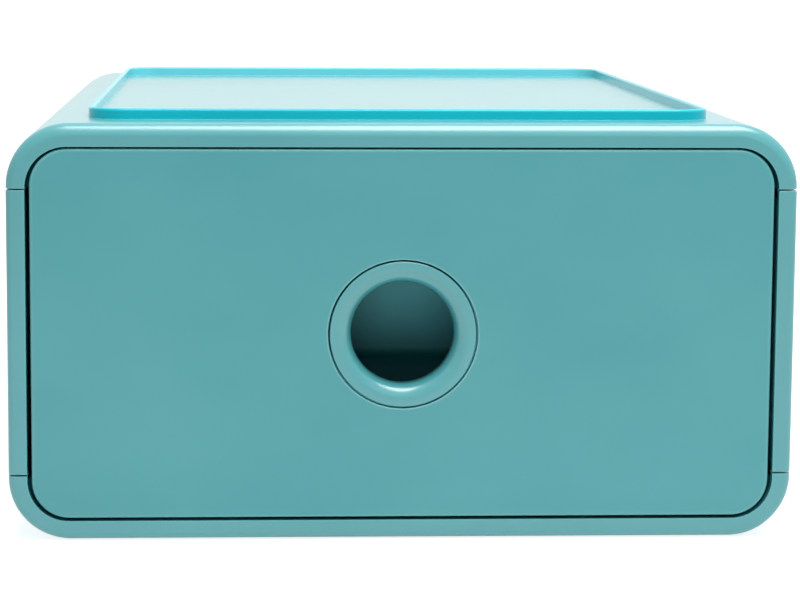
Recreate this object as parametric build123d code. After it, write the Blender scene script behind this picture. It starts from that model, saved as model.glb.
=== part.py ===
from build123d import *
import os

os.makedirs("parts", exist_ok=True)

# Stackable drawer box: a rounded casing made of a top shell, a bottom shell, two side panels
# and a back panel, with one drawer that slides out of its front.
# X runs across the front, Y from front to back and Z up. The origin is the centre of the base.

# casing
case_width = 260.0
case_depth = 320.0
case_height = 137.8
case_corner = 20.5
wall = 3.0
corner_thickening = 1.0
front_edge = 2.0
back_edge = 1.2
seam_offset = 21.5  # from the casing's top and bottom to the seams beside the side panels
seam_bevel = 0.35

# frame round the drawer front
frame_side = 6.3
frame_top = 7.6
frame_bottom = 6.2
frame_depth = 10.0

# ledges in the frame's corners that the drawer front closes against
stop_reach = 2.2
stop_thickness = 2.6
stop_clearance = 0.4

# stacking rim on top, and the recess under the base that takes the rim of the box below
rim_side_margin = 25.3
rim_end_margin = 19.3
rim_height = 3.6
rim_wall = 2.0
rim_corner = 13.0
rim_edge = 0.6
recess_depth = 4.4
stack_clearance = 0.8

# lips of the shells that lap inside the side panels
lip_height = 3.0
lip_thickness = 1.2
lip_setback = 2.5
lap_clearance = 0.15

# foot pads, seated in the strips before and behind the recess
foot_stand = 0.6
foot_seat = 1.2
foot_length = 26.0
foot_width = 6.6
foot_corner = 2.4
foot_side_margin = 46.0  # from the casing's side to the middle of a pad
foot_clearance = 0.15

# back panel, held between a ledge and low catches
back_thickness = 3.0
back_inset = 2.0
back_clearance = 0.2
field_margin = 15.0
field_corner = 9.0
field_depth = 0.9
ledge_reach = 2.0
ledge_thickness = 2.0
catch_reach = 0.9
catch_length = 30.0
catch_thickness = 1.0
catch_spacing = 120.0
catch_clearance = 0.1

# drawer front
gap_side = 1.2
gap_top = 0.6
gap_bottom = 1.0
face_thickness = 3.2
face_edge = 0.9
peg_radius = 2.4
peg_reach = 1.5  # how far a peg stands out behind the tub's front wall
peg_edge = 0.5
peg_spacing = 180.0
peg_rise = 68.0
peg_clearance = 0.2

# drawer tub
tub_side_gap = 4.7  # from the frame's opening to the tub's side
tub_lift = 2.3  # from the casing's floor to the tub's underside
tub_height = 102.7
tub_wall = 2.4
tub_floor = 2.2
tub_corner = 12.0
tub_back_corner = 7.0
tub_back_gap = 6.0
flange_reach = 3.0
flange_thickness = 2.2
skid_width = 6.0
skid_spacing = 160.0
skid_setback = 14.0
skid_clearance = 0.3

# end of the drawer's travel: an ear on each side of the tub meets a rib on each side panel
drawer_travel = 230.0
travel_clearance = 0.5
ear_thickness = 6.0
ear_height = 26.0
ear_setback = 8.0
ear_edge = 0.8
ear_clearance = 0.7
rib_reach = 3.1
rib_thickness = 4.0
rib_height = 34.0

# finger ring
ring_radius = 24.2
ring_bore = 17.1
ring_land = 2.0
ring_edge = 0.4
ring_clearance = 0.45
sleeve_wall = 2.3
sleeve_clearance = 0.3
sleeve_reach = 2.6  # how far the sleeve stands out behind the tub's front wall
bead_reach = 0.6
bead_length = 1.4
bead_clearance = 0.1

# places that follow from the sizes above
case_front = -case_depth / 2
case_back = case_depth / 2
case_side = case_width / 2
case_bottom = foot_stand
case_top = case_bottom + case_height
seam_low = case_bottom + seam_offset
seam_high = case_top - seam_offset
floor_top = case_bottom + frame_bottom
ceiling = case_top - wall
cavity_side = case_side - wall
cavity_corner = case_corner - wall - corner_thickening

opening_side = case_side - frame_side
opening_top = case_top - frame_top
opening_corner = case_corner - (frame_side + frame_top) / 2
frame_back = case_front + frame_depth

rim_width = case_width - 2 * rim_side_margin
rim_depth = case_depth - 2 * rim_end_margin

back_face = case_back - back_inset
back_front = back_face - back_thickness
ledge_front = back_front - ledge_thickness

face_side = opening_side - gap_side
face_bottom = floor_top + gap_bottom
face_top = opening_top - gap_top
face_middle = (face_bottom + face_top) / 2
face_back = case_front + face_thickness

tub_side = opening_side - tub_side_gap
tub_bottom = floor_top + tub_lift
tub_top = tub_bottom + tub_height
tub_front = face_back + tub_wall
tub_back = ledge_front - tub_back_gap
ear_back = tub_back - ear_setback
ear_front = ear_back - ear_thickness
rib_back = ear_front - drawer_travel - travel_clearance
rib_middle = (seam_low + seam_high) / 2

sleeve_radius = ring_bore + sleeve_wall


def along_depth(section, front, back):
    # carries a section drawn across X and up Z from the front to the back
    plane = Plane(origin=(0, front, 0), x_dir=(1, 0, 0), z_dir=(0, -1, 0))
    return extrude(plane * section, amount=front - back)


def upright(half_width, bottom, top, corner):
    return Pos(0, (bottom + top) / 2) * RectangleRounded(2 * half_width, top - bottom, corner)


def block(across, along, up):
    ranges = (across, along, up)
    middle = [(low + high) / 2 for low, high in ranges]
    size = [high - low for low, high in ranges]
    return Pos(*middle) * Box(*size)


def plan_block(width, depth, corner, bottom, top):
    plan = RectangleRounded(width, depth, corner)
    return Pos(0, 0, bottom) * extrude(plan, amount=top - bottom)


def round_rod(radius, x, z, front, back):
    return along_depth(Pos(x, z) * Circle(radius), front, back)


def end_edges(body, end):
    # the edges of the foremost face (end 0) or of the rearmost one (end -1)
    return body.faces().sort_by(Axis.Y)[end].edges()


def cavity(inset=0.0):
    corner = cavity_corner - inset
    return upright(cavity_side - inset, floor_top + inset, ceiling - inset, corner)


def opening(inset=0.0):
    corner = opening_corner - inset
    return upright(opening_side - inset, floor_top + inset, opening_top - inset, corner)


def corner_stops():
    ring = opening() - opening(stop_reach)
    side = opening_side - opening_corner / 2
    levels = (floor_top + opening_corner / 2, opening_top - opening_corner / 2)
    front = face_back + stop_clearance
    stops = []
    for sign in (-1, 1):
        for level in levels:
            square = Pos(sign * side, level) * Rectangle(opening_corner, opening_corner)
            stops.append(along_depth(ring & square, front, front + stop_thickness))
    return stops


def casing_walls():
    outline = upright(case_side, case_bottom, case_top, case_corner)
    body = along_depth(outline, case_front, case_back)
    body = fillet(end_edges(body, 0), front_edge)
    body = fillet(end_edges(body, -1), back_edge)
    body -= along_depth(opening(), case_front, frame_back)
    body -= along_depth(cavity(), frame_back, case_back)
    ledge = along_depth(cavity() - cavity(ledge_reach), ledge_front, back_front)
    return body + [ledge, *corner_stops()]


def stacking_rim():
    top = case_top + rim_height
    inner_width = rim_width - 2 * rim_wall
    inner_depth = rim_depth - 2 * rim_wall
    rim = plan_block(rim_width, rim_depth, rim_corner, case_top, top)
    rim -= plan_block(inner_width, inner_depth, rim_corner - rim_wall, case_top, top)
    return fillet(rim.faces().sort_by(Axis.Z)[-1].edges(), rim_edge)


def stacking_recess():
    width = rim_width + 2 * stack_clearance
    depth = rim_depth + 2 * stack_clearance
    corner = rim_corner + stack_clearance
    return plan_block(width, depth, corner, 0, case_bottom + recess_depth)


def lap_lips(seam, direction, play=0.0):
    # thin lips on the inside of both side walls, from the seam into the side panels
    tip = seam + direction * (lip_height + play)
    root = seam - direction * lip_height
    up = sorted((root, tip))
    frame_run = (opening_side, case_front + lip_setback, frame_back + lip_thickness)
    wall_run = (cavity_side, frame_back, ledge_front - lip_setback)
    lips = []
    for inner, front, back in (frame_run, wall_run):
        for sign in (-1, 1):
            across = sorted((sign * (inner - play), sign * (inner + lip_thickness + play)))
            lips.append(block(across, (front - play, back + play), up))
    return lips


def back_catches(level, direction):
    # low bumps that hold the back panel against its ledge
    front = back_face + catch_clearance
    up = sorted((level, level + direction * catch_reach))
    catches = []
    for sign in (-1, 1):
        middle = sign * catch_spacing / 2
        across = (middle - catch_length / 2, middle + catch_length / 2)
        catches.append(block(across, (front, front + catch_thickness), up))
    return catches


def foot_places():
    strip = rim_end_margin - stack_clearance
    depth = case_depth / 2 - (strip + front_edge) / 2
    side = case_side - foot_side_margin
    places = {}
    for end, sign in (("front", -1), ("back", 1)):
        places[end + "_left"] = (-side, sign * depth)
        places[end + "_right"] = (side, sign * depth)
    return places


def foot_pad(place, play=0.0):
    plan = RectangleRounded(foot_length + 2 * play, foot_width + 2 * play, foot_corner + play)
    return Pos(*place, 0) * extrude(plan, amount=case_bottom + foot_seat)


def casing_part(across, up):
    return casing & block(across, (case_front, case_back), up)


def top_shell():
    shell = casing_part((-case_side, case_side), (seam_high, case_top)) + stacking_rim()
    return shell + [*lap_lips(seam_high, -1), *back_catches(ceiling, -1)]


def bottom_shell():
    shell = casing_part((-case_side, case_side), (case_bottom, seam_low)) - stacking_recess()
    shell -= [foot_pad(place, foot_clearance) for place in foot_places().values()]
    return shell + [*lap_lips(seam_low, 1), *back_catches(floor_top, 1)]


def on_outside(edge):
    middle = edge.center()
    outer_side = abs(middle.X) > case_side - back_edge / 2
    return outer_side or abs(middle.Y) > case_back - back_edge / 4


def side_panel(sign):
    half_height = rib_height / 2
    rib_across = sorted((sign * (cavity_side - rib_reach), sign * cavity_side))
    rib_up = (rib_middle - half_height, rib_middle + half_height)
    panel = casing_part(sorted((0, sign * case_side)), (seam_low, seam_high))
    for level in (0, -1):
        panel = chamfer(panel.edges().group_by(Axis.Z)[level].filter_by(on_outside), seam_bevel)
    panel += block(rib_across, (rib_back - rib_thickness, rib_back), rib_up)
    return panel - [*lap_lips(seam_low, 1, lap_clearance), *lap_lips(seam_high, -1, lap_clearance)]


def back_panel():
    panel = along_depth(cavity(back_clearance), back_front, back_face)
    field = upright(
        cavity_side - field_margin,
        floor_top + field_margin,
        ceiling - field_margin,
        field_corner,
    )
    return panel - along_depth(field, back_face - field_depth, back_face)


def tub_form(inset, floor, front, back):
    # the tub's body, or with an inset its hollow, open at the top
    half = tub_side - inset
    bottom = tub_bottom + floor
    corner = tub_corner - inset
    outline = upright(half, bottom, tub_top + corner, corner)
    middle = (bottom + tub_top) / 2
    outline &= Pos(0, middle) * Rectangle(2 * half, tub_top - bottom)
    body = along_depth(outline, front, back)
    edges = end_edges(body, -1).filter_by_position(Axis.Z, bottom, middle + corner)
    return fillet(edges, tub_back_corner - inset)


def tub_flange():
    side = tub_side + flange_reach
    back = tub_back + flange_reach
    flange = block((-side, side), (face_back, back), (tub_top - flange_thickness, tub_top))
    corners = flange.edges().filter_by(Axis.Z).sort_by(Axis.Y)[-2:]
    return fillet(corners, tub_back_corner + flange_reach)


def tub_ears():
    up = (rib_middle - ear_height / 2, rib_middle + ear_height / 2)
    tip = cavity_side - ear_clearance
    ears = []
    for sign in (-1, 1):
        ear = block(sorted((sign * tub_side, sign * tip)), (ear_front, ear_back), up)
        outer = ear.faces().sort_by(Axis.X)[0 if sign < 0 else -1]
        ears.append(fillet(outer.edges(), ear_edge))
    return ears


def tub_skids():
    along = (tub_front + skid_setback, tub_back - skid_setback)
    up = (floor_top + skid_clearance, tub_bottom)
    skids = []
    for sign in (-1, 1):
        middle = sign * skid_spacing / 2
        skids.append(block((middle - skid_width / 2, middle + skid_width / 2), along, up))
    return skids


def peg_places():
    spread = peg_spacing / 2
    rise = peg_rise / 2
    return [(x, face_middle + z) for x in (-spread, spread) for z in (-rise, rise)]


def drawer_tub():
    tub = tub_form(0, 0, face_back, tub_back) + tub_flange()
    tub -= tub_form(tub_wall, tub_floor, tub_front, tub_back - tub_wall)
    tub += [*tub_ears(), *tub_skids()]
    tub -= round_rod(sleeve_radius + sleeve_clearance, 0, face_middle, face_back, tub_front)
    for x, z in peg_places():
        tub -= round_rod(peg_radius + peg_clearance, x, z, face_back, tub_front)
    return tub


def drawer_front():
    outline = upright(face_side, face_bottom, face_top, opening_corner - gap_side)
    front = along_depth(outline, case_front, face_back)
    front = fillet(end_edges(front, 0), face_edge)
    front -= round_rod(ring_radius + ring_clearance, 0, face_middle, case_front, face_back)
    for x, z in peg_places():
        peg = round_rod(peg_radius, x, z, face_back, tub_front + peg_reach)
        front += chamfer(end_edges(peg, -1), peg_edge)
    return front


def finger_ring():
    # half section: X is the distance from the ring's middle and Y the depth
    roll = ring_radius - ring_land - ring_bore
    sleeve_back = tub_front + sleeve_reach
    bead_front = tub_front + bead_clearance
    bead_back = bead_front + bead_length
    edge_middle = (ring_radius - ring_edge, case_front + ring_edge)
    roll_middle = (ring_bore + roll, case_front + roll)
    section = Curve() + [
        Line((ring_radius, face_back), (ring_radius, case_front + ring_edge)),
        CenterArc(edge_middle, ring_edge, 0, -90),
        Line((ring_radius - ring_edge, case_front), (ring_bore + roll, case_front)),
        CenterArc(roll_middle, roll, -90, -90),
        Polyline(
            (ring_bore, case_front + roll),
            (ring_bore, sleeve_back),
            (sleeve_radius, sleeve_back),
            (sleeve_radius, bead_back),
            (sleeve_radius + bead_reach, bead_front),
            (sleeve_radius, bead_front),
            (sleeve_radius, face_back),
            (ring_radius, face_back),
        ),
    ]
    return Pos(0, 0, face_middle) * revolve(make_face(section), Axis.Y)


casing = casing_walls()
pieces = {
    "top_shell": top_shell(),
    "bottom_shell": bottom_shell(),
    "side_panel_left": side_panel(-1),
    "side_panel_right": side_panel(1),
    "back_panel": back_panel(),
    "drawer_tub": drawer_tub(),
    "drawer_front": drawer_front(),
    "finger_ring": finger_ring(),
}
for corner, place in foot_places().items():
    pieces["foot_pad_" + corner] = foot_pad(place)
for node, piece in pieces.items():
    export_step(piece, f"parts/{node}.step")
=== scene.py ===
import math
import bpy
import numpy as np
from mathutils import Matrix, Vector


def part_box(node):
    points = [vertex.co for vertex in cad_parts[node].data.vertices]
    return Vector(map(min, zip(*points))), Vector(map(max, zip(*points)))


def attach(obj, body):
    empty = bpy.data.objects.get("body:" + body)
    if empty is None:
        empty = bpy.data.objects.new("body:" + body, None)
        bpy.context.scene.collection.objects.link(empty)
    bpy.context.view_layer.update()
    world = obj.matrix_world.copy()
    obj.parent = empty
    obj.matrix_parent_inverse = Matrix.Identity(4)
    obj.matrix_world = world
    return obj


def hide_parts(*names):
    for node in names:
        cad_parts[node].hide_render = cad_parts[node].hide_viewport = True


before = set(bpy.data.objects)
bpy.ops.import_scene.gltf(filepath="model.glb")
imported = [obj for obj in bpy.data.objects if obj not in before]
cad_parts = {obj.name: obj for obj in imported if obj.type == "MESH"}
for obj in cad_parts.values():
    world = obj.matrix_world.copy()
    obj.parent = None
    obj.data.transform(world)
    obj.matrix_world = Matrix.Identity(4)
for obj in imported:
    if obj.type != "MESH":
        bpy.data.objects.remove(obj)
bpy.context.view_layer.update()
print("frame loaded:", len(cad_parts), "nodes")

# what the frame says about the box, in metres
topLow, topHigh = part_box("top_shell")
baseLow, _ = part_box("bottom_shell")
panelLow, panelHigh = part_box("side_panel_left")
backLow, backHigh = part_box("back_panel")
faceLow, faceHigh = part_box("drawer_front")
_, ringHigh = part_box("finger_ring")

rim = {
    "height": 0.0036,
    "sideMargin": 0.0253,
    "endMargin": 0.0193,
    "wall": 0.002,
    "corner": 0.013,
    "edge": 0.0009,
    "foot": 0.0001,
    "sink": 0.0003,
    "arcSteps": 14,
    "runSteps": 12,
    "edgePoints": 6,
}

casing = {
    "side": topHigh.x,
    "front": topLow.y,
    "back": topHigh.y,
    "bottom": baseLow.z,
    "top": topHigh.z - rim["height"],
    "seamLow": panelLow.z,
    "seamHigh": panelHigh.z,
    "corner": 0.0205,
    "wall": 0.003,
    "frameSide": 0.0063,
    "frameTop": 0.0076,
    "frameBottom": 0.0062,
    "frameDepth": 0.010,
    "openingCorner": 0.01355,
    "cavityCorner": 0.0165,
    "backEdge": 0.0012,
    "ledgeReach": 0.002,
    "ledgeThickness": 0.002,
    "arcSteps": 20,
    "runSteps": 24,
    "legSteps": 3,
    "edgeSteps": 8,
    "backEdgePoints": 5,
    "panelPoints": 7,
    "creaseAngle": 12.0,
    "seamGap": 0.00022,
}
frameBack = casing["front"] + casing["frameDepth"]
ledgeFront = backLow.y - casing["ledgeThickness"]


def smoothStep(t):
    # 3t2 - 2t3, held between 0 and 1
    t = np.clip(t, 0.0, 1.0)
    return t * t * (3 - 2 * t)


def gridFaces(rows, columns, closeRows=False, closeColumns=False):
    # quad (i, j), (i, j+1), (i+1, j+1), (i+1, j) of a grid numbered row by row
    i = np.arange(rows if closeRows else rows - 1)
    j = np.arange(columns if closeColumns else columns - 1)
    i, j = np.meshgrid(i, j, indexing="ij")
    nextI = (i + 1) % rows
    nextJ = (j + 1) % columns
    corners = (i * columns + j, i * columns + nextJ, nextI * columns + nextJ, nextI * columns + j)
    return np.stack(corners, -1).reshape(-1, 4).tolist()


def facingOut(points, faces):
    # the signed volume, a sum of fans' triple products, tells whether the faces point outwards
    volume = 0.0
    for face in faces:
        p = points[face]
        volume += np.einsum("ij,ij->", np.cross(p[1:-1], p[2:]), np.repeat(p[:1], len(p) - 2, 0))
    return faces if volume > 0 else [face[::-1] for face in faces]


def solidPart(points, faces):
    # points as one list of x, y, z, with their faces turned outwards
    points = np.asarray(points, float).reshape(-1, 3)
    return points, facingOut(points, faces)


edgeRounding = {
    "segments": 3,
    "angle": 40.0,
}


def buildPiece(name, parts, body, material, bevel=None, replaced=()):
    # parts are closed (points, faces) islands of one mesh
    points = np.concatenate([p for p, _ in parts])
    starts = np.cumsum([0] + [len(p) for p, _ in parts[:-1]])
    faces = [[k + int(s) for k in face] for s, (_, f) in zip(starts, parts) for face in f]
    mesh = bpy.data.meshes.new(name)
    mesh.from_pydata(points.tolist(), [], faces)
    mesh.polygons.foreach_set("use_smooth", np.ones(len(mesh.polygons), bool))
    mesh.materials.append(material)
    mesh.update()
    piece = bpy.data.objects.new(name, mesh)
    bpy.context.scene.collection.objects.link(piece)
    if bevel:
        rounding = piece.modifiers.new("edgeRounding", "BEVEL")
        rounding.width = bevel
        rounding.segments = edgeRounding["segments"]
        rounding.limit_method = "ANGLE"
        rounding.angle_limit = math.radians(edgeRounding["angle"])
    normals = piece.modifiers.new("flatFacesFirst", "WEIGHTED_NORMAL")
    normals.mode = "FACE_AREA"
    normals.keep_sharp = True
    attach(piece, body)
    if replaced:
        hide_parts(*replaced)
    return piece


def archPath(side, level, corner, seam):
    # from one seam up or down a straight leg, round a quarter circle, and mirrored back:
    # x = -side + corner (1 - cos a), z = level - s corner (1 - sin a)
    s = 1.0 if level > seam else -1.0
    a = np.linspace(0, math.pi / 2, casing["arcSteps"] + 1)
    legZ = np.linspace(seam + s * casing["seamGap"], level - s * corner, casing["legSteps"] + 1)[:-1]
    x = np.concatenate([np.full(len(legZ), -side), -side + corner * (1 - np.cos(a))])
    z = np.concatenate([legZ, level - s * corner * (1 - np.sin(a))])
    half = np.stack([x, z], -1)
    runX = np.linspace(corner - side, side - corner, casing["runSteps"] + 1)[1:-1]
    run = np.stack([runX, np.full(len(runX), level)], -1)
    return np.concatenate([half, run, half[::-1] * (-1, 1)])


def shiftable(path):
    # a path is linear in its inset, so it is path(0) + inset (path(probe) - path(0)) / probe,
    # which also takes an inset that changes along the path
    probe = 0.001
    start = path(0.0)
    step = (path(probe) - start) / probe
    return lambda inset: start + np.broadcast_to(inset, len(start))[:, None] * step


def archLayers(level, seam):
    # the skin, the frame's opening and the cavity as arches with the same number of points
    s = 1.0 if level > seam else -1.0
    frameEdge, floorEdge = ("frameTop", "wall") if s > 0 else ("frameBottom", "frameBottom")
    side = casing["side"]
    sizes = {
        "skin": (side, level, casing["corner"]),
        "opening": (side - casing["frameSide"], level - s * casing[frameEdge], casing["openingCorner"]),
        "cavity": (side - casing["wall"], level - s * casing[floorEdge], casing["cavityCorner"]),
    }
    return {
        key: shiftable(lambda d, q=size: archPath(q[0] - d, q[1] - s * d, q[2] - d, seam))
        for key, size in sizes.items()
    }


def panelLayers(sign):
    # the same three layers where the wall is straight, between the seams: x = sign (side - inset - d)
    low, high = casing["seamLow"] + casing["seamGap"], casing["seamHigh"] - casing["seamGap"]
    z = np.linspace(low, high, casing["panelPoints"])
    insets = {"skin": 0.0, "opening": casing["frameSide"], "cavity": casing["wall"]}

    def upright(inset):
        return lambda d: np.stack([np.full(len(z), sign * (casing["side"] - inset - d)), z], -1)

    return {key: shiftable(upright(inset)) for key, inset in insets.items()}


def wallGrid(layers, frontRadius):
    # the wall's closed section carried along the layers. The front edge is a quarter round
    # that starts with a slight crease: inset = r (1 - sin a) / (1 - sin c), depth = r (1 - cos a / cos c)
    front, back, edge = casing["front"], casing["back"], casing["backEdge"]
    crease = math.radians(casing["creaseAngle"])

    def station(layer, inset, depth):
        path = layers[layer](inset)
        return np.stack([path[:, 0], np.broadcast_to(depth, len(path)), path[:, 1]], -1)

    rows = [station("opening", 0.0, frameBack), station("opening", 0.0, front)]
    for a in np.linspace(crease, math.pi / 2, casing["edgeSteps"] + 1):
        inset = frontRadius * (1 - math.sin(a)) / (1 - math.sin(crease))
        rows.append(station("skin", inset, front + frontRadius * (1 - math.cos(a) / math.cos(crease))))
    for b in np.linspace(0, math.pi / 2, casing["backEdgePoints"]):
        rows.append(station("skin", edge * (1 - math.cos(b)), back - edge * (1 - math.sin(b))))
    ledge = casing["ledgeReach"]
    rows += [
        station("cavity", 0.0, back),
        station("cavity", 0.0, backLow.y),
        station("cavity", ledge, backLow.y),
        station("cavity", ledge, ledgeFront),
        station("cavity", 0.0, ledgeFront),
        station("cavity", 0.0, frameBack),
    ]
    return np.stack(rows)


def endFaces(rows, columns):
    # the flat faces over the first and the last column of a grid
    start = [i * columns for i in range(rows)]
    return [start, [k + columns - 1 for k in reversed(start)]]


def wallPart(grid):
    # a closed section carried along its columns, with a flat face at both ends
    rows, columns = grid.shape[:2]
    return solidPart(grid, gridFaces(rows, columns, closeRows=True) + endFaces(rows, columns))


def blockPart(low, high):
    # a box from its low corner to its high corner
    x, y, z = np.stack([low, high], -1)
    points = np.stack(np.meshgrid(x, y, z, indexing="ij"), -1).reshape(-1, 3)
    faces = [[0, 1, 3, 2], [4, 6, 7, 5], [0, 4, 5, 1], [2, 3, 7, 6], [0, 2, 6, 4], [1, 5, 7, 3]]
    return solidPart(points, faces)


def mirroredBlocks(low, high):
    # a box and its mirror image across x = 0
    low, high = np.array(low), np.array(high)
    flippedLow = (-high[0], low[1], low[2])
    flippedHigh = (-low[0], high[1], high[2])
    return [blockPart(low, high), blockPart(flippedLow, flippedHigh)]


def loopPath(halfWidth, low, high, corner, arcSteps, runSteps):
    # a closed rounded rectangle, counter-clockwise from the right end of its low side. A corner is
    # (x + r cos a, -y + r sin a), mirrored upwards, and the left half is the right half turned round
    a = np.linspace(-math.pi / 2, 0, arcSteps + 1)
    x, y, r = halfWidth - corner, (high - low) / 2 - corner, corner
    middle = (low + high) / 2
    lowRight = np.stack([x + r * np.cos(a), -y + r * np.sin(a)], -1)
    rise = np.linspace(-y, y, runSteps + 1)[1:-1]
    right = np.stack([np.full(len(rise), halfWidth), rise], -1)
    highRight = lowRight[::-1] * (1, -1)
    across = np.linspace(x, -x, runSteps + 1)[1:-1]
    top = np.stack([across, np.full(len(across), y + r)], -1)
    half = np.concatenate([lowRight, right, highRight, top])
    return np.concatenate([half, -half]) + (0, middle)


# moulded teal plastic

plastic = {
    "flowScale": 16.0,
    "flowDetail": 3.0,
    "flowStretch": (1.0, 0.6, 1.6),
    "scuffScale": 500.0,
    "scuffDetail": 5.0,
    "scuffStretch": (0.6, 0.7, 1.0),
    "grainScale": 2600.0,
    "grainDetail": 2.0,
    "grainDepth": 0.00003,
    "grain": 0.5,
    "wavesScale": 38.0,
    "wavesDetail": 2.0,
    "wavesDepth": 0.0001,
    "waves": 0.35,
    "noiseLow": 0.3,
    "noiseHigh": 0.7,
    "edgeWidth": 0.0009,
    "edgeSamples": 4,
    "edgeFlat": 0.999,
    "edgeTurned": 0.93,
    "wornShare": 0.35,
    "wornGain": 1.5,
    "wornLift": 0.03,
    "wornRoughness": 0.05,
    "roughSpread": 0.025,
    "ior": 1.5,
    "shine": 0.5,
    "coatIor": 1.5,
    "coatRoughness": 0.14,
}
colours = {
    "teal": (0.075, 0.395, 0.425),
    "tealPale": (0.095, 0.430, 0.460),
    # the rim's colours are a painted glow: more saturated than the teal, they stand in for light shining
    # through the thin rim wall
    "rim": (0.000, 0.600, 0.720),
    "rimPaintedGlowPale": (0.002, 0.640, 0.760),
    # painted light: the paler colour the rim takes towards its back, where its wall catches more light
    "rimBackPaintedLight": (0.220, 0.760, 0.860),
    # painted shade: the near-black teal of the corner stops stands in for the shade deep in the gap round
    # the face
    "paintedShade": (0.002, 0.085, 0.105),
    "paintedShadePale": (0.003, 0.105, 0.125),
    "tub": (0.030, 0.310, 0.350),
    "tubPale": (0.040, 0.350, 0.390),
}


def newMaterial(name):
    # a material with one Principled shader and nothing else
    material = bpy.data.materials.new(name)
    material.use_nodes = True
    tree = material.node_tree
    tree.nodes.clear()
    output = tree.nodes.new("ShaderNodeOutputMaterial")
    shader = tree.nodes.new("ShaderNodeBsdfPrincipled")
    tree.links.new(shader.outputs["BSDF"], output.inputs["Surface"])
    return material, tree, shader


def noiseOf(tree, coordinates, scale, detail, stretch=None):
    # noise from 0 to 1, drawn out along the axes where the stretch is small
    if stretch:
        mapping = tree.nodes.new("ShaderNodeMapping")
        mapping.inputs["Scale"].default_value = stretch
        tree.links.new(coordinates, mapping.inputs["Vector"])
        coordinates = mapping.outputs["Vector"]
    noise = tree.nodes.new("ShaderNodeTexNoise")
    noise.inputs["Scale"].default_value = scale
    noise.inputs["Detail"].default_value = detail
    tree.links.new(coordinates, noise.inputs["Vector"])
    return noise.outputs["Fac"]


def rangeOf(tree, value, low, high, newLow, newHigh):
    # newLow + (value - low) / (high - low) (newHigh - newLow), held between both ends
    mapped = tree.nodes.new("ShaderNodeMapRange")
    for key, number in (("From Min", low), ("From Max", high), ("To Min", newLow), ("To Max", newHigh)):
        mapped.inputs[key].default_value = number
    tree.links.new(value, mapped.inputs["Value"])
    return mapped.outputs["Result"]


def mathOf(tree, operation, first, second):
    # first and second are numbers or outputs of other nodes
    node = tree.nodes.new("ShaderNodeMath")
    node.operation = operation
    for socket, value in zip(node.inputs, (first, second)):
        if isinstance(value, (int, float)):
            socket.default_value = value
        else:
            tree.links.new(value, socket)
    return node.outputs["Value"]


def mixColour(tree, factor, first, second):
    # (1 - factor) first + factor second, each a colour or the output of another node
    mix = tree.nodes.new("ShaderNodeMix")
    mix.data_type = "RGBA"
    sockets = [s for s in mix.inputs if s.type == "RGBA"]
    for socket, value in zip(sockets, (first, second)):
        if isinstance(value, tuple):
            socket.default_value = (*value, 1.0)
        else:
            tree.links.new(value, socket)
    tree.links.new(factor, mix.inputs["Factor"])
    return [s for s in mix.outputs if s.type == "RGBA"][0]


def bumpOf(tree, height, distance, strength, normal=None):
    # the normal turned by the slope of distance x height, on top of the normal given
    bump = tree.nodes.new("ShaderNodeBump")
    bump.inputs["Distance"].default_value = distance
    bump.inputs["Strength"].default_value = strength
    tree.links.new(height, bump.inputs["Height"])
    if normal:
        tree.links.new(normal, bump.inputs["Normal"])
    return bump.outputs["Normal"]


def edgeMask(tree, width):
    # from 0 to 1 as the normal turns when it is averaged over the width: 1 on rounded and worn edges
    soft = tree.nodes.new("ShaderNodeBevel")
    soft.inputs["Radius"].default_value = width
    soft.samples = plastic["edgeSamples"]
    geometry = tree.nodes.new("ShaderNodeNewGeometry")
    dot = tree.nodes.new("ShaderNodeVectorMath")
    dot.operation = "DOT_PRODUCT"
    tree.links.new(soft.outputs["Normal"], dot.inputs[0])
    tree.links.new(geometry.outputs["Normal"], dot.inputs[1])
    return rangeOf(tree, dot.outputs["Value"], plastic["edgeFlat"], plastic["edgeTurned"], 0.0, 1.0)


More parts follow.
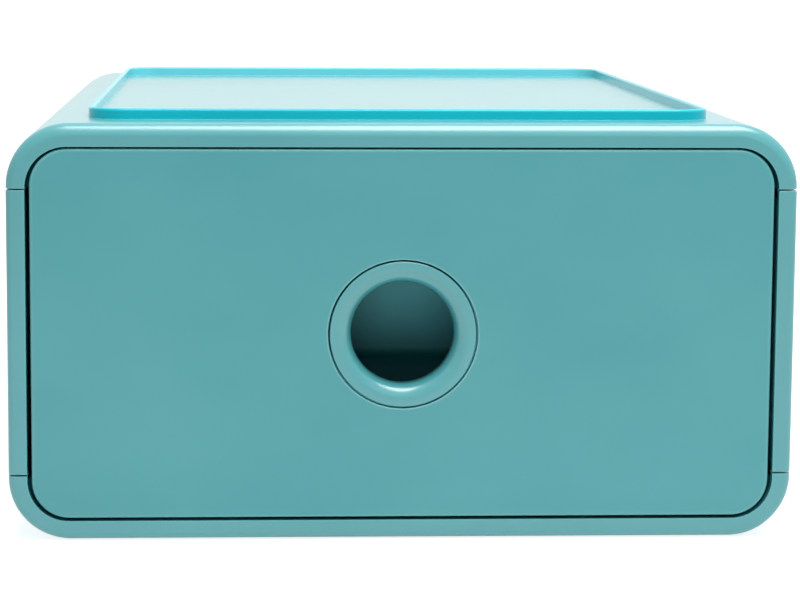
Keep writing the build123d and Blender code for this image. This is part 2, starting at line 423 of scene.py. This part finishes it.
def mouldedPlastic(name, teal, tealPale, roughness, coat, farPaintedLight=None, **changes):
    # flow marks in the colour, fine scuffs in the roughness, pale edges that are worn and, where their
    # share is high as on the drawer face, a painted highlight, slow waves and a fine grain
    look = {**plastic, **changes}
    material, tree, shader = newMaterial(name)
    place = tree.nodes.new("ShaderNodeTexCoord").outputs["Object"]
    low, high = look["noiseLow"], look["noiseHigh"]
    flow = noiseOf(tree, place, look["flowScale"], look["flowDetail"], look["flowStretch"])
    scuffs = noiseOf(tree, place, look["scuffScale"], look["scuffDetail"], look["scuffStretch"])
    grainHeight = noiseOf(tree, place, look["grainScale"], look["grainDetail"])
    waves = noiseOf(tree, place, look["wavesScale"], look["wavesDetail"])
    worn = edgeMask(tree, look["edgeWidth"])
    colour = mixColour(tree, rangeOf(tree, flow, low, high, 0.0, 1.0), teal, tealPale)
    # painted light: the colour pales from the rim's front to its back, standing in for the light its back
    # wall catches
    if farPaintedLight:
        parts = tree.nodes.new("ShaderNodeSeparateXYZ")
        tree.links.new(place, parts.inputs["Vector"])
        rimFront = casing["front"] + rim["endMargin"]
        away = rangeOf(tree, parts.outputs["Y"], rimFront, casing["back"], 0.0, 1.0)
        colour = mixColour(tree, away, colour, farPaintedLight)
    # pale edges: wear, and on the drawer face mostly a painted highlight along its edges
    wearAndHighlightColour = tuple(min(1.0, c * look["wornGain"] + look["wornLift"]) for c in tealPale)
    colour = mixColour(tree, mathOf(tree, "MULTIPLY", worn, look["wornShare"]), colour, wearAndHighlightColour)
    tree.links.new(colour, shader.inputs["Base Color"])
    spread = look["roughSpread"]
    rough = rangeOf(tree, scuffs, low, high, roughness - spread, roughness + spread)
    rough = mathOf(tree, "ADD", rough, mathOf(tree, "MULTIPLY", worn, look["wornRoughness"]))
    tree.links.new(rough, shader.inputs["Roughness"])
    normal = bumpOf(tree, waves, look["wavesDepth"], look["waves"])
    normal = bumpOf(tree, grainHeight, look["grainDepth"], look["grain"], normal)
    tree.links.new(normal, shader.inputs["Normal"])
    shader.inputs["IOR"].default_value = look["ior"]
    shader.inputs["Specular IOR Level"].default_value = look["shine"]
    shader.inputs["Coat Weight"].default_value = coat
    shader.inputs["Coat IOR"].default_value = look["coatIor"]
    shader.inputs["Coat Roughness"].default_value = look["coatRoughness"]
    return material


greyRubber = {
    "grey": (0.24, 0.29, 0.29),
    "greyPale": (0.33, 0.38, 0.38),
    "mottleScale": 320.0,
    "mottleDetail": 4.0,
    "fineScale": 2400.0,
    "fineDetail": 2.0,
    "fineLow": 0.3,
    "fineHigh": 0.7,
    "roughnessLow": 0.62,
    "roughnessHigh": 0.82,
    "fineDepth": 0.0001,
    "fine": 0.5,
}


def padRubber():
    # mottled grey rubber with a fine grain in its roughness and its surface
    look = greyRubber
    material, tree, shader = newMaterial("padRubber")
    place = tree.nodes.new("ShaderNodeTexCoord").outputs["Object"]
    mottled = noiseOf(tree, place, look["mottleScale"], look["mottleDetail"])
    fine = noiseOf(tree, place, look["fineScale"], look["fineDetail"])
    tree.links.new(mixColour(tree, mottled, look["grey"], look["greyPale"]), shader.inputs["Base Color"])
    low, high = look["fineLow"], look["fineHigh"]
    rough = rangeOf(tree, fine, low, high, look["roughnessLow"], look["roughnessHigh"])
    tree.links.new(rough, shader.inputs["Roughness"])
    tree.links.new(bumpOf(tree, fine, look["fineDepth"], look["fine"]), shader.inputs["Normal"])
    return material


tealPair = (colours["teal"], colours["tealPale"])
rimPaintedGlowPair = (colours["rim"], colours["rimPaintedGlowPale"])
paintedShadePair = (colours["paintedShade"], colours["paintedShadePale"])
tubPair = (colours["tub"], colours["tubPale"])
shellPlastic = mouldedPlastic(
    "shellPlastic", *tealPair, roughness=0.30, coat=1.0,
    coatRoughness=0.30, coatIor=1.45, grain=0.2, waves=0.22,
)
# the drawer face's pale edges are mostly a painted highlight, a bright line along its top edge
facePlastic = mouldedPlastic(
    "facePlastic", *tealPair, roughness=0.38, coat=0.2, wornShare=0.8, wornGain=1.0, wornLift=0.30,
)
ringPlastic = mouldedPlastic(
    "ringPlastic", *tealPair, roughness=0.30, coat=0.9, coatRoughness=0.25, grain=0.25,
)
backPlastic = mouldedPlastic("backPlastic", *tealPair, roughness=0.45, coat=0.1, grain=0.75)
# painted glow: the rim's saturated colour stands in for light through its thin wall
rimPaintedGlowPlastic = mouldedPlastic(
    "rimPaintedGlowPlastic", *rimPaintedGlowPair, roughness=0.30, coat=0.7, farPaintedLight=colours["rimBackPaintedLight"],
    shine=0.15, coatIor=1.25, wornLift=0.25,
)
# painted shade for the corner stops
paintedShadePlastic = mouldedPlastic("paintedShadePlastic", *paintedShadePair, roughness=0.60, coat=0.0, shine=0.1)
tubPlastic = mouldedPlastic("tubPlastic", *tubPair, roughness=0.45, coat=0.0, shine=0.3, grain=0.75)
rubber = padRubber()
print("materials ready")


# top shell: skin, frame, ledge, corner stops and lap lips

topShell = {
    "radiusTop": 0.0042,
    "radiusSeam": 0.0024,
    "fadeHeight": 0.019,
    "rounding": 0.0003,
}
laps = {
    "height": 0.003,
    "thickness": 0.0012,
    "setback": 0.0025,
}
stops = {
    "reach": 0.0022,
    "thickness": 0.0026,
    "clearance": 0.0004,
    "faceThickness": 0.0032,
}
catches = {
    "clearance": 0.0001,
    "height": 0.0009,
    "thickness": 0.001,
    "innerEnd": 0.045,
    "outerEnd": 0.075,
}
faceBack = casing["front"] + stops["faceThickness"]


def lapLips(seam, direction):
    # thin lips inside the side walls that stand across the seam
    zRange = sorted((seam - direction * laps["height"], seam + direction * laps["height"]))
    opening = casing["side"] - casing["frameSide"]
    cavity = casing["side"] - casing["wall"]
    runs = (
        (opening, casing["front"] + laps["setback"], frameBack + laps["thickness"]),
        (cavity, frameBack, ledgeFront - laps["setback"]),
    )
    parts = []
    for inner, front, back in runs:
        parts += mirroredBlocks((inner, front, zRange[0]), (inner + laps["thickness"], back, zRange[1]))
    return parts


def cornerStops(layers):
    # two short ledges on the opening's arcs behind the face: a rectangle, reach by thickness, carried
    # along the arc
    first = casing["legSteps"]
    last = first + casing["arcSteps"] + 1
    front = faceBack + stops["clearance"]
    reach, thickness = stops["reach"], stops["thickness"]
    section = ((0.0, 0.0), (reach, 0.0), (reach, thickness), (0.0, thickness))
    parts = []
    for flip in (1, -1):
        rows = []
        for inset, depth in section:
            path = layers["opening"](inset)[first:last] * (flip, 1)
            rows.append(np.stack([path[:, 0], np.full(len(path), front + depth), path[:, 1]], -1))
        parts.append(wallPart(np.stack(rows)))
    return parts


def catchBlocks(level, direction):
    # low bumps behind the back panel
    front = backHigh.y + catches["clearance"]
    back = front + catches["thickness"]
    zRange = sorted((level, level + direction * catches["height"]))
    return mirroredBlocks((catches["innerEnd"], front, zRange[0]), (catches["outerEnd"], back, zRange[1]))


def buildTopShell():
    # the front edge's radius grows from the seam upwards: seam + (top - seam) smoothStep(height / fade)
    layers = archLayers(casing["top"], casing["seamHigh"])
    height = layers["skin"](0.0)[:, 1] - casing["seamHigh"]
    fade = smoothStep(height / topShell["fadeHeight"])
    radius = topShell["radiusSeam"] + (topShell["radiusTop"] - topShell["radiusSeam"]) * fade
    parts = [wallPart(wallGrid(layers, radius)), *lapLips(casing["seamHigh"], -1)]
    # the corner stops get painted shade, the darkness of the gap they sit in
    buildPiece("topStops", cornerStops(layers), "casing", paintedShadePlastic)
    parts += catchBlocks(casing["top"] - casing["wall"], -1)
    return buildPiece(
        "topShell", parts, "casing", shellPlastic, topShell["rounding"], ["top_shell"]
    )


def buildRim():
    # the rim's section carried round its plan: a foot fillet, the wall and a rounded top on each side,
    # where the top is inset = r (1 - cos a), z = top - r (1 - sin a)
    edge, foot, wall = rim["edge"], rim["foot"], rim["wall"]
    top = casing["top"] + rim["height"]
    a = np.linspace(0, math.pi / 2, rim["edgePoints"])
    outerFoot = np.stack([-foot * (1 - np.sin(a)), casing["top"] + foot * (1 - np.cos(a))], -1)
    outerEdge = np.stack([edge * (1 - np.cos(a)), top - edge * (1 - np.sin(a))], -1)
    outside = np.concatenate([[(-foot, casing["top"] - rim["sink"])], outerFoot, outerEdge])
    inside = outside[::-1] * (-1, 1) + (wall, 0)
    section = np.concatenate([outside, inside])
    rows = []
    for inset, z in section:
        half = casing["side"] - rim["sideMargin"] - inset
        end = casing["back"] - rim["endMargin"] - inset
        plan = loopPath(half, -end, end, rim["corner"] - inset, rim["arcSteps"], rim["runSteps"])
        rows.append(np.stack([plan[:, 0], plan[:, 1], np.full(len(plan), z)], -1))
    grid = np.stack(rows)
    part = solidPart(grid, gridFaces(*grid.shape[:2], closeRows=True, closeColumns=True))
    return buildPiece("stackingRim", [part], "casing", rimPaintedGlowPlastic)


buildTopShell()
buildRim()
print("top shell and rim built")


# bottom shell, with the recess under it

bottomShell = {
    "radiusFront": 0.0022,
    "rounding": 0.0003,
    "recessDepth": 0.0044,
    "play": 0.0008,
}


def recessPart(grid):
    # the grid's flat underside opened into the recess: four bays between the outer strip and a rounded
    # loop. The skin's first long row follows the opening's rows and those of the front edge
    rows, columns = grid.shape[:2]
    openingRows = 2
    skinFront = openingRows + casing["edgeSteps"]
    skinBack = skinFront + 1
    first = casing["legSteps"] + casing["arcSteps"]
    last = first + casing["runSteps"]
    faces = [
        face for face in gridFaces(rows, columns, closeRows=True)
        if not (face[0] // columns == skinFront and first <= face[0] % columns < last)
    ]
    faces += endFaces(rows, columns)
    half = casing["side"] - rim["sideMargin"] + bottomShell["play"]
    end = casing["back"] - rim["endMargin"] + bottomShell["play"]
    arcs = rim["arcSteps"]
    plan = loopPath(half, -end, end, rim["corner"] + bottomShell["play"], arcs, runSteps=1)
    levels = (casing["bottom"], casing["bottom"] + bottomShell["recessDepth"])
    loops = [np.stack([plan[:, 0], plan[:, 1], np.full(len(plan), z)], -1) for z in levels]
    count, start = len(plan), rows * columns
    faces += [[start + k for k in face] for face in gridFaces(2, count, closeColumns=True)]
    faces.append([start + count + k for k in range(count)])
    # loop points run from the front right corner round to the back right, back left and front left
    quarter = count // 4
    middle = [quarter * k + arcs // 2 for k in range(4)]

    def stretch(a, b):
        return [start + k % count for k in range(a, b + 1)]

    frontRow = [skinFront * columns + j for j in range(first, last + 1)]
    backRow = [skinBack * columns + j for j in range(first, last + 1)]
    faces.append(frontRow + stretch(middle[3], middle[0] + count)[::-1])
    faces.append([frontRow[-1], backRow[-1]] + stretch(middle[0], middle[1])[::-1])
    faces.append(backRow[::-1] + stretch(middle[1], middle[2])[::-1])
    faces.append([backRow[0], frontRow[0]] + stretch(middle[2], middle[3])[::-1])
    return solidPart(np.concatenate([grid.reshape(-1, 3), *loops]), faces)


def buildBottomShell():
    layers = archLayers(casing["bottom"], casing["seamLow"])
    grid = wallGrid(layers, bottomShell["radiusFront"])
    parts = [recessPart(grid), *lapLips(casing["seamLow"], 1)]
    # the corner stops get painted shade, the darkness of the gap they sit in
    buildPiece("bottomStops", cornerStops(layers), "casing", paintedShadePlastic)
    parts += catchBlocks(casing["bottom"] + casing["frameBottom"], 1)
    return buildPiece(
        "bottomShell", parts, "casing", shellPlastic,
        bottomShell["rounding"], ["bottom_shell"],
    )


buildBottomShell()
print("bottom shell built")


# side panels, each with the rib that ends the drawer's travel

sidePanel = {
    "radiusFront": 0.0020,
    "rounding": 0.0004,
    "ribReach": 0.0031,
    "ribThickness": 0.004,
    "ribHeight": 0.034,
    "ribBack": -0.0975,
}


def buildSidePanel(sign, name):
    middle = (casing["seamLow"] + casing["seamHigh"]) / 2
    inner = casing["side"] - casing["wall"]
    low = (inner - sidePanel["ribReach"], sidePanel["ribBack"] - sidePanel["ribThickness"])
    high = (inner, sidePanel["ribBack"])
    half = sidePanel["ribHeight"] / 2
    ribs = mirroredBlocks((*low, middle - half), (*high, middle + half))
    rib = ribs[0] if sign > 0 else ribs[1]
    wall = wallPart(wallGrid(panelLayers(sign), sidePanel["radiusFront"]))
    return buildPiece(
        name, [wall, rib], "casing", shellPlastic, sidePanel["rounding"],
        ["side_panel_right" if sign > 0 else "side_panel_left"],
    )


buildSidePanel(-1, "sidePanelLeft")
buildSidePanel(1, "sidePanelRight")
print("side panels built")


# back panel with a shallow field

backPanel = {
    "fieldMargin": 0.015,
    "fieldCorner": 0.009,
    "fieldDepth": 0.0009,
    "fieldSlope": 0.001,
    "cornerPlay": 0.0002,
    "rounding": 0.0004,
    "arcSteps": 12,
    "runSteps": 4,
}


def buildBackPanel():
    # a plate whose back has a shallow field, let in along a slope inside a plain margin
    margin, slope = backPanel["fieldMargin"], backPanel["fieldSlope"]
    corner = backPanel["fieldCorner"]

    def plan(inset, radius):
        low, high = backLow.z + inset, backHigh.z - inset
        return loopPath(backHigh.x - inset, low, high, radius, backPanel["arcSteps"], backPanel["runSteps"])

    outline = plan(0.0, casing["cavityCorner"] - backPanel["cornerPlay"])
    loops = (
        (outline, backLow.y),
        (outline, backHigh.y),
        (plan(margin, corner), backHigh.y),
        (plan(margin + slope, corner - slope), backHigh.y - backPanel["fieldDepth"]),
    )
    grid = np.stack([np.stack([p[:, 0], np.full(len(p), y), p[:, 1]], -1) for p, y in loops])
    rows, columns = grid.shape[:2]
    ends = [list(range(columns))[::-1], [(rows - 1) * columns + k for k in range(columns)]]
    part = solidPart(grid, gridFaces(rows, columns, closeColumns=True) + ends)
    return buildPiece(
        "backPanel", [part], "casing", backPlastic, backPanel["rounding"], ["back_panel"]
    )


buildBackPanel()
print("back panel built")


# drawer front with the round seat of the finger ring

drawerFace = {
    "corner": 0.01235,
    "edge": 0.0009,
    "seatEdge": 0.0003,
    "sideTrim": 0.00025,
    "arcSteps": 16,
    "runSteps": 20,
    "seatPoints": 4,
    "edgePoints": 7,
}
fingerRing = {
    "radius": ringHigh.x,
    "clearance": 0.0006,
    "bore": 0.0171,
    "land": 0.0020,
    "edge": 0.0005,
    "sleeveWall": 0.0023,
    "foot": 0.0004,
    "edgePoints": 5,
    "rollPoints": 15,
    "turnSteps": 128,
}
faceMiddle = (faceLow.z + faceHigh.z) / 2


def buildDrawerFace():
    # rows run from the seat's circle to the outline, whose bearings the circle's points share. Both
    # edges are quarter rounds: inset = r (1 - sin a), depth = r (1 - cos a)
    steps, runs = drawerFace["arcSteps"], drawerFace["runSteps"]

    def outline(d):
        half = faceHigh.x - drawerFace["sideTrim"] - d
        return loopPath(half, faceLow.z + d, faceHigh.z - d, drawerFace["corner"] - d, steps, runs)

    loop = outline(0.0) - (0, faceMiddle)
    bearing = np.arctan2(loop[:, 1], loop[:, 0])
    circle = np.stack([np.cos(bearing), np.sin(bearing)], -1)
    seat = fingerRing["radius"] + fingerRing["clearance"]
    front, edge, seatEdge = casing["front"], drawerFace["edge"], drawerFace["seatEdge"]
    rows = [(seat * circle + (0, faceMiddle), faceBack)]
    for a in np.linspace(0, math.pi / 2, drawerFace["seatPoints"]):
        radius = seat + seatEdge * (1 - math.cos(a))
        rows.append((radius * circle + (0, faceMiddle), front + seatEdge * (1 - math.sin(a))))
    for a in np.linspace(0, math.pi / 2, drawerFace["edgePoints"]):
        rows.append((outline(edge * (1 - math.sin(a))), front + edge * (1 - math.cos(a))))
    rows.append((outline(0.0), faceBack))
    grid = np.stack([np.stack([p[:, 0], np.full(len(p), y), p[:, 1]], -1) for p, y in rows])
    part = solidPart(grid, gridFaces(*grid.shape[:2], closeRows=True, closeColumns=True))
    return buildPiece("drawerFace", [part], "drawer", facePlastic, None, ["drawer_front"])


def buildFingerRing():
    # the half section (distance, depth) turned about the ring's middle:
    # x = distance cos t, z = middle + distance sin t
    outer, bore, edge = fingerRing["radius"], fingerRing["bore"], fingerRing["edge"]
    roll = outer - fingerRing["land"] - bore
    front = casing["front"]
    a = np.linspace(0, math.pi / 2, fingerRing["edgePoints"])
    b = np.linspace(0, math.pi / 2, fingerRing["rollPoints"])
    sleeve = bore + fingerRing["sleeveWall"]
    footEnd, footFront = outer + fingerRing["foot"], faceBack - fingerRing["foot"]
    section = np.concatenate([
        [(footEnd, faceBack), (footEnd, footFront), (outer, footFront)],
        np.stack([outer - edge * (1 - np.cos(a)), front + edge * (1 - np.sin(a))], -1),
        np.stack([bore + roll * (1 - np.sin(b)), front + roll * (1 - np.cos(b))], -1),
        [(bore, ringHigh.y), (sleeve, ringHigh.y), (sleeve, faceBack)],
    ])
    turn = np.linspace(0, 2 * math.pi, fingerRing["turnSteps"], endpoint=False)
    distance, depth = section[:, :1], section[:, 1:]
    across, up = distance * np.cos(turn), faceMiddle + distance * np.sin(turn)
    grid = np.stack([across, np.broadcast_to(depth, across.shape), up], -1)
    part = solidPart(grid, gridFaces(*grid.shape[:2], closeRows=True, closeColumns=True))
    return buildPiece("fingerRing", [part], "drawer", ringPlastic, None, ["finger_ring"])


buildDrawerFace()
buildFingerRing()
print("drawer front and ring built")

# the tub and the foot pads keep the shapes of their frame nodes
padNames = [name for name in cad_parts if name.startswith("foot_pad")]
for nodeName, material in (("drawer_tub", tubPlastic), *((name, rubber) for name in padNames)):
    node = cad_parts[nodeName]
    node.data.materials.clear()
    node.data.materials.append(material)
print("tub and foot pads dressed")


# floor, backdrop light and lamps

stage = {
    "floorColour": (0.80, 0.80, 0.80),
    "floorNear": 0.80,
    "floorFar": 1.0,
    "floorShine": 0.60,
    "floorRoughness": 0.9,
    "floorSize": 12.0,
    "nearMiddle": (0.10, -0.28, 0.0),
    "nearRadius": 0.50,
    "farRadius": 1.5,
    "glowColour": (1.0, 1.0, 1.0),
    "worldDiffuse": 0.25,
    "worldShine": 1.0,
}


def buildFloor():
    # one flat square. The camera sees it white, a little less near the box, where its shadow shows
    size = stage["floorSize"]
    mesh = bpy.data.meshes.new("floor")
    corners = [(-size, -size, 0), (size, -size, 0), (size, size, 0), (-size, size, 0)]
    mesh.from_pydata(corners, [], [(0, 1, 2, 3)])
    floor = bpy.data.objects.new("floor", mesh)
    bpy.context.scene.collection.objects.link(floor)
    material, tree, shader = newMaterial("paleFloor")
    shader.inputs["Base Color"].default_value = (*stage["floorColour"], 1.0)
    shader.inputs["Roughness"].default_value = stage["floorRoughness"]
    shader.inputs["Specular IOR Level"].default_value = 0.0
    shader.inputs["Emission Color"].default_value = (*stage["glowColour"], 1.0)
    path = tree.nodes.new("ShaderNodeLightPath")
    reach = tree.nodes.new("ShaderNodeVectorMath")
    reach.operation = "DISTANCE"
    tree.links.new(tree.nodes.new("ShaderNodeTexCoord").outputs["Object"], reach.inputs[0])
    reach.inputs[1].default_value = stage["nearMiddle"]
    near, far = stage["nearRadius"], stage["farRadius"]
    seen = rangeOf(tree, reach.outputs["Value"], near, far, stage["floorNear"], stage["floorFar"])
    seen = mathOf(tree, "MULTIPLY", path.outputs["Is Camera Ray"], seen)
    shine = mathOf(tree, "MULTIPLY", path.outputs["Is Glossy Ray"], stage["floorShine"])
    tree.links.new(mathOf(tree, "MAXIMUM", seen, shine), shader.inputs["Emission Strength"])
    mesh.materials.append(material)


def buildWorld():
    # white to the camera and in reflections, and a plain low light on the object
    world = bpy.data.worlds.new("studio")
    bpy.context.scene.world = world
    world.use_nodes = True
    tree = world.node_tree
    background = tree.nodes["Background"]
    background.inputs["Color"].default_value = (*stage["glowColour"], 1.0)
    path = tree.nodes.new("ShaderNodeLightPath")
    glossy = mathOf(tree, "MAXIMUM", path.outputs["Is Glossy Ray"], path.outputs["Is Transmission Ray"])
    glossy = rangeOf(tree, glossy, 0.0, 1.0, stage["worldDiffuse"], stage["worldShine"])
    strength = mathOf(tree, "MAXIMUM", path.outputs["Is Camera Ray"], glossy)
    tree.links.new(strength, background.inputs["Strength"])


lamps = {
    "overhead": {"at": (0.22, -0.36, 1.4), "aim": (0.0, -0.1, 0.1), "size": (1.0, 0.8), "power": 22.0},
    "front": {"at": (0.5, -1.9, 1.3), "aim": (0.0, 0.0, 0.05), "size": (1.2, 0.9), "power": 2.0},
    "inside": {"at": (-0.12, -2.0, 0.235), "aim": (0.0, -0.16, 0.069), "size": (0.30, 0.22), "power": 22.0},
}


def buildLamps():
    # rectangles of light, each turned from its place towards its aim
    for name, values in lamps.items():
        light = bpy.data.lights.new(name, "AREA")
        light.shape = "RECTANGLE"
        light.size, light.size_y = values["size"]
        light.energy = values["power"]
        lamp = bpy.data.objects.new(name, light)
        lamp.location = values["at"]
        lamp.rotation_euler = (Vector(values["aim"]) - lamp.location).to_track_quat("-Z", "Y").to_euler()
        lamp.visible_camera = False
        bpy.context.scene.collection.objects.link(lamp)
    # the light through the finger hole falls on the tub alone
    tubOnly = bpy.data.collections.new("tubOnly")
    tubOnly.objects.link(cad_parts["drawer_tub"])
    bpy.data.objects["inside"].light_linking.receiver_collection = tubOnly


buildFloor()
buildWorld()
buildLamps()
print("floor, world and lamps built")


# camera at the photograph's viewing angle

camera = {
    "at": (-0.0514, -0.9676, 0.1966),
    "lookDown": 6.697,
    "lookRight": 2.561,
    "roll": 0.302,
    "lens": 111.85,
    "shift": (0.05325, -0.0800),
    "sensor": 36.0,
    "clipStart": 0.01,
    "clipEnd": 50.0,
}


def buildCamera():
    # turned to the right about Z, then down about X from the level, then rolled about its own line of sight
    data = bpy.data.cameras.new("camera")
    data.lens = camera["lens"]
    data.sensor_width = camera["sensor"]
    data.shift_x, data.shift_y = camera["shift"]
    data.clip_start = camera["clipStart"]
    data.clip_end = camera["clipEnd"]
    seen = bpy.data.objects.new("camera", data)
    down, right, roll = (math.radians(camera[key]) for key in ("lookDown", "lookRight", "roll"))
    turn = Matrix.Rotation(-right, 4, "Z") @ Matrix.Rotation(math.pi / 2 - down, 4, "X")
    turn = turn @ Matrix.Rotation(roll, 4, "Z")
    seen.matrix_world = Matrix.Translation(camera["at"]) @ turn
    bpy.context.scene.collection.objects.link(seen)
    bpy.context.scene.camera = seen


buildCamera()
bpy.context.scene.view_settings.view_transform = "Standard"
print("camera set")
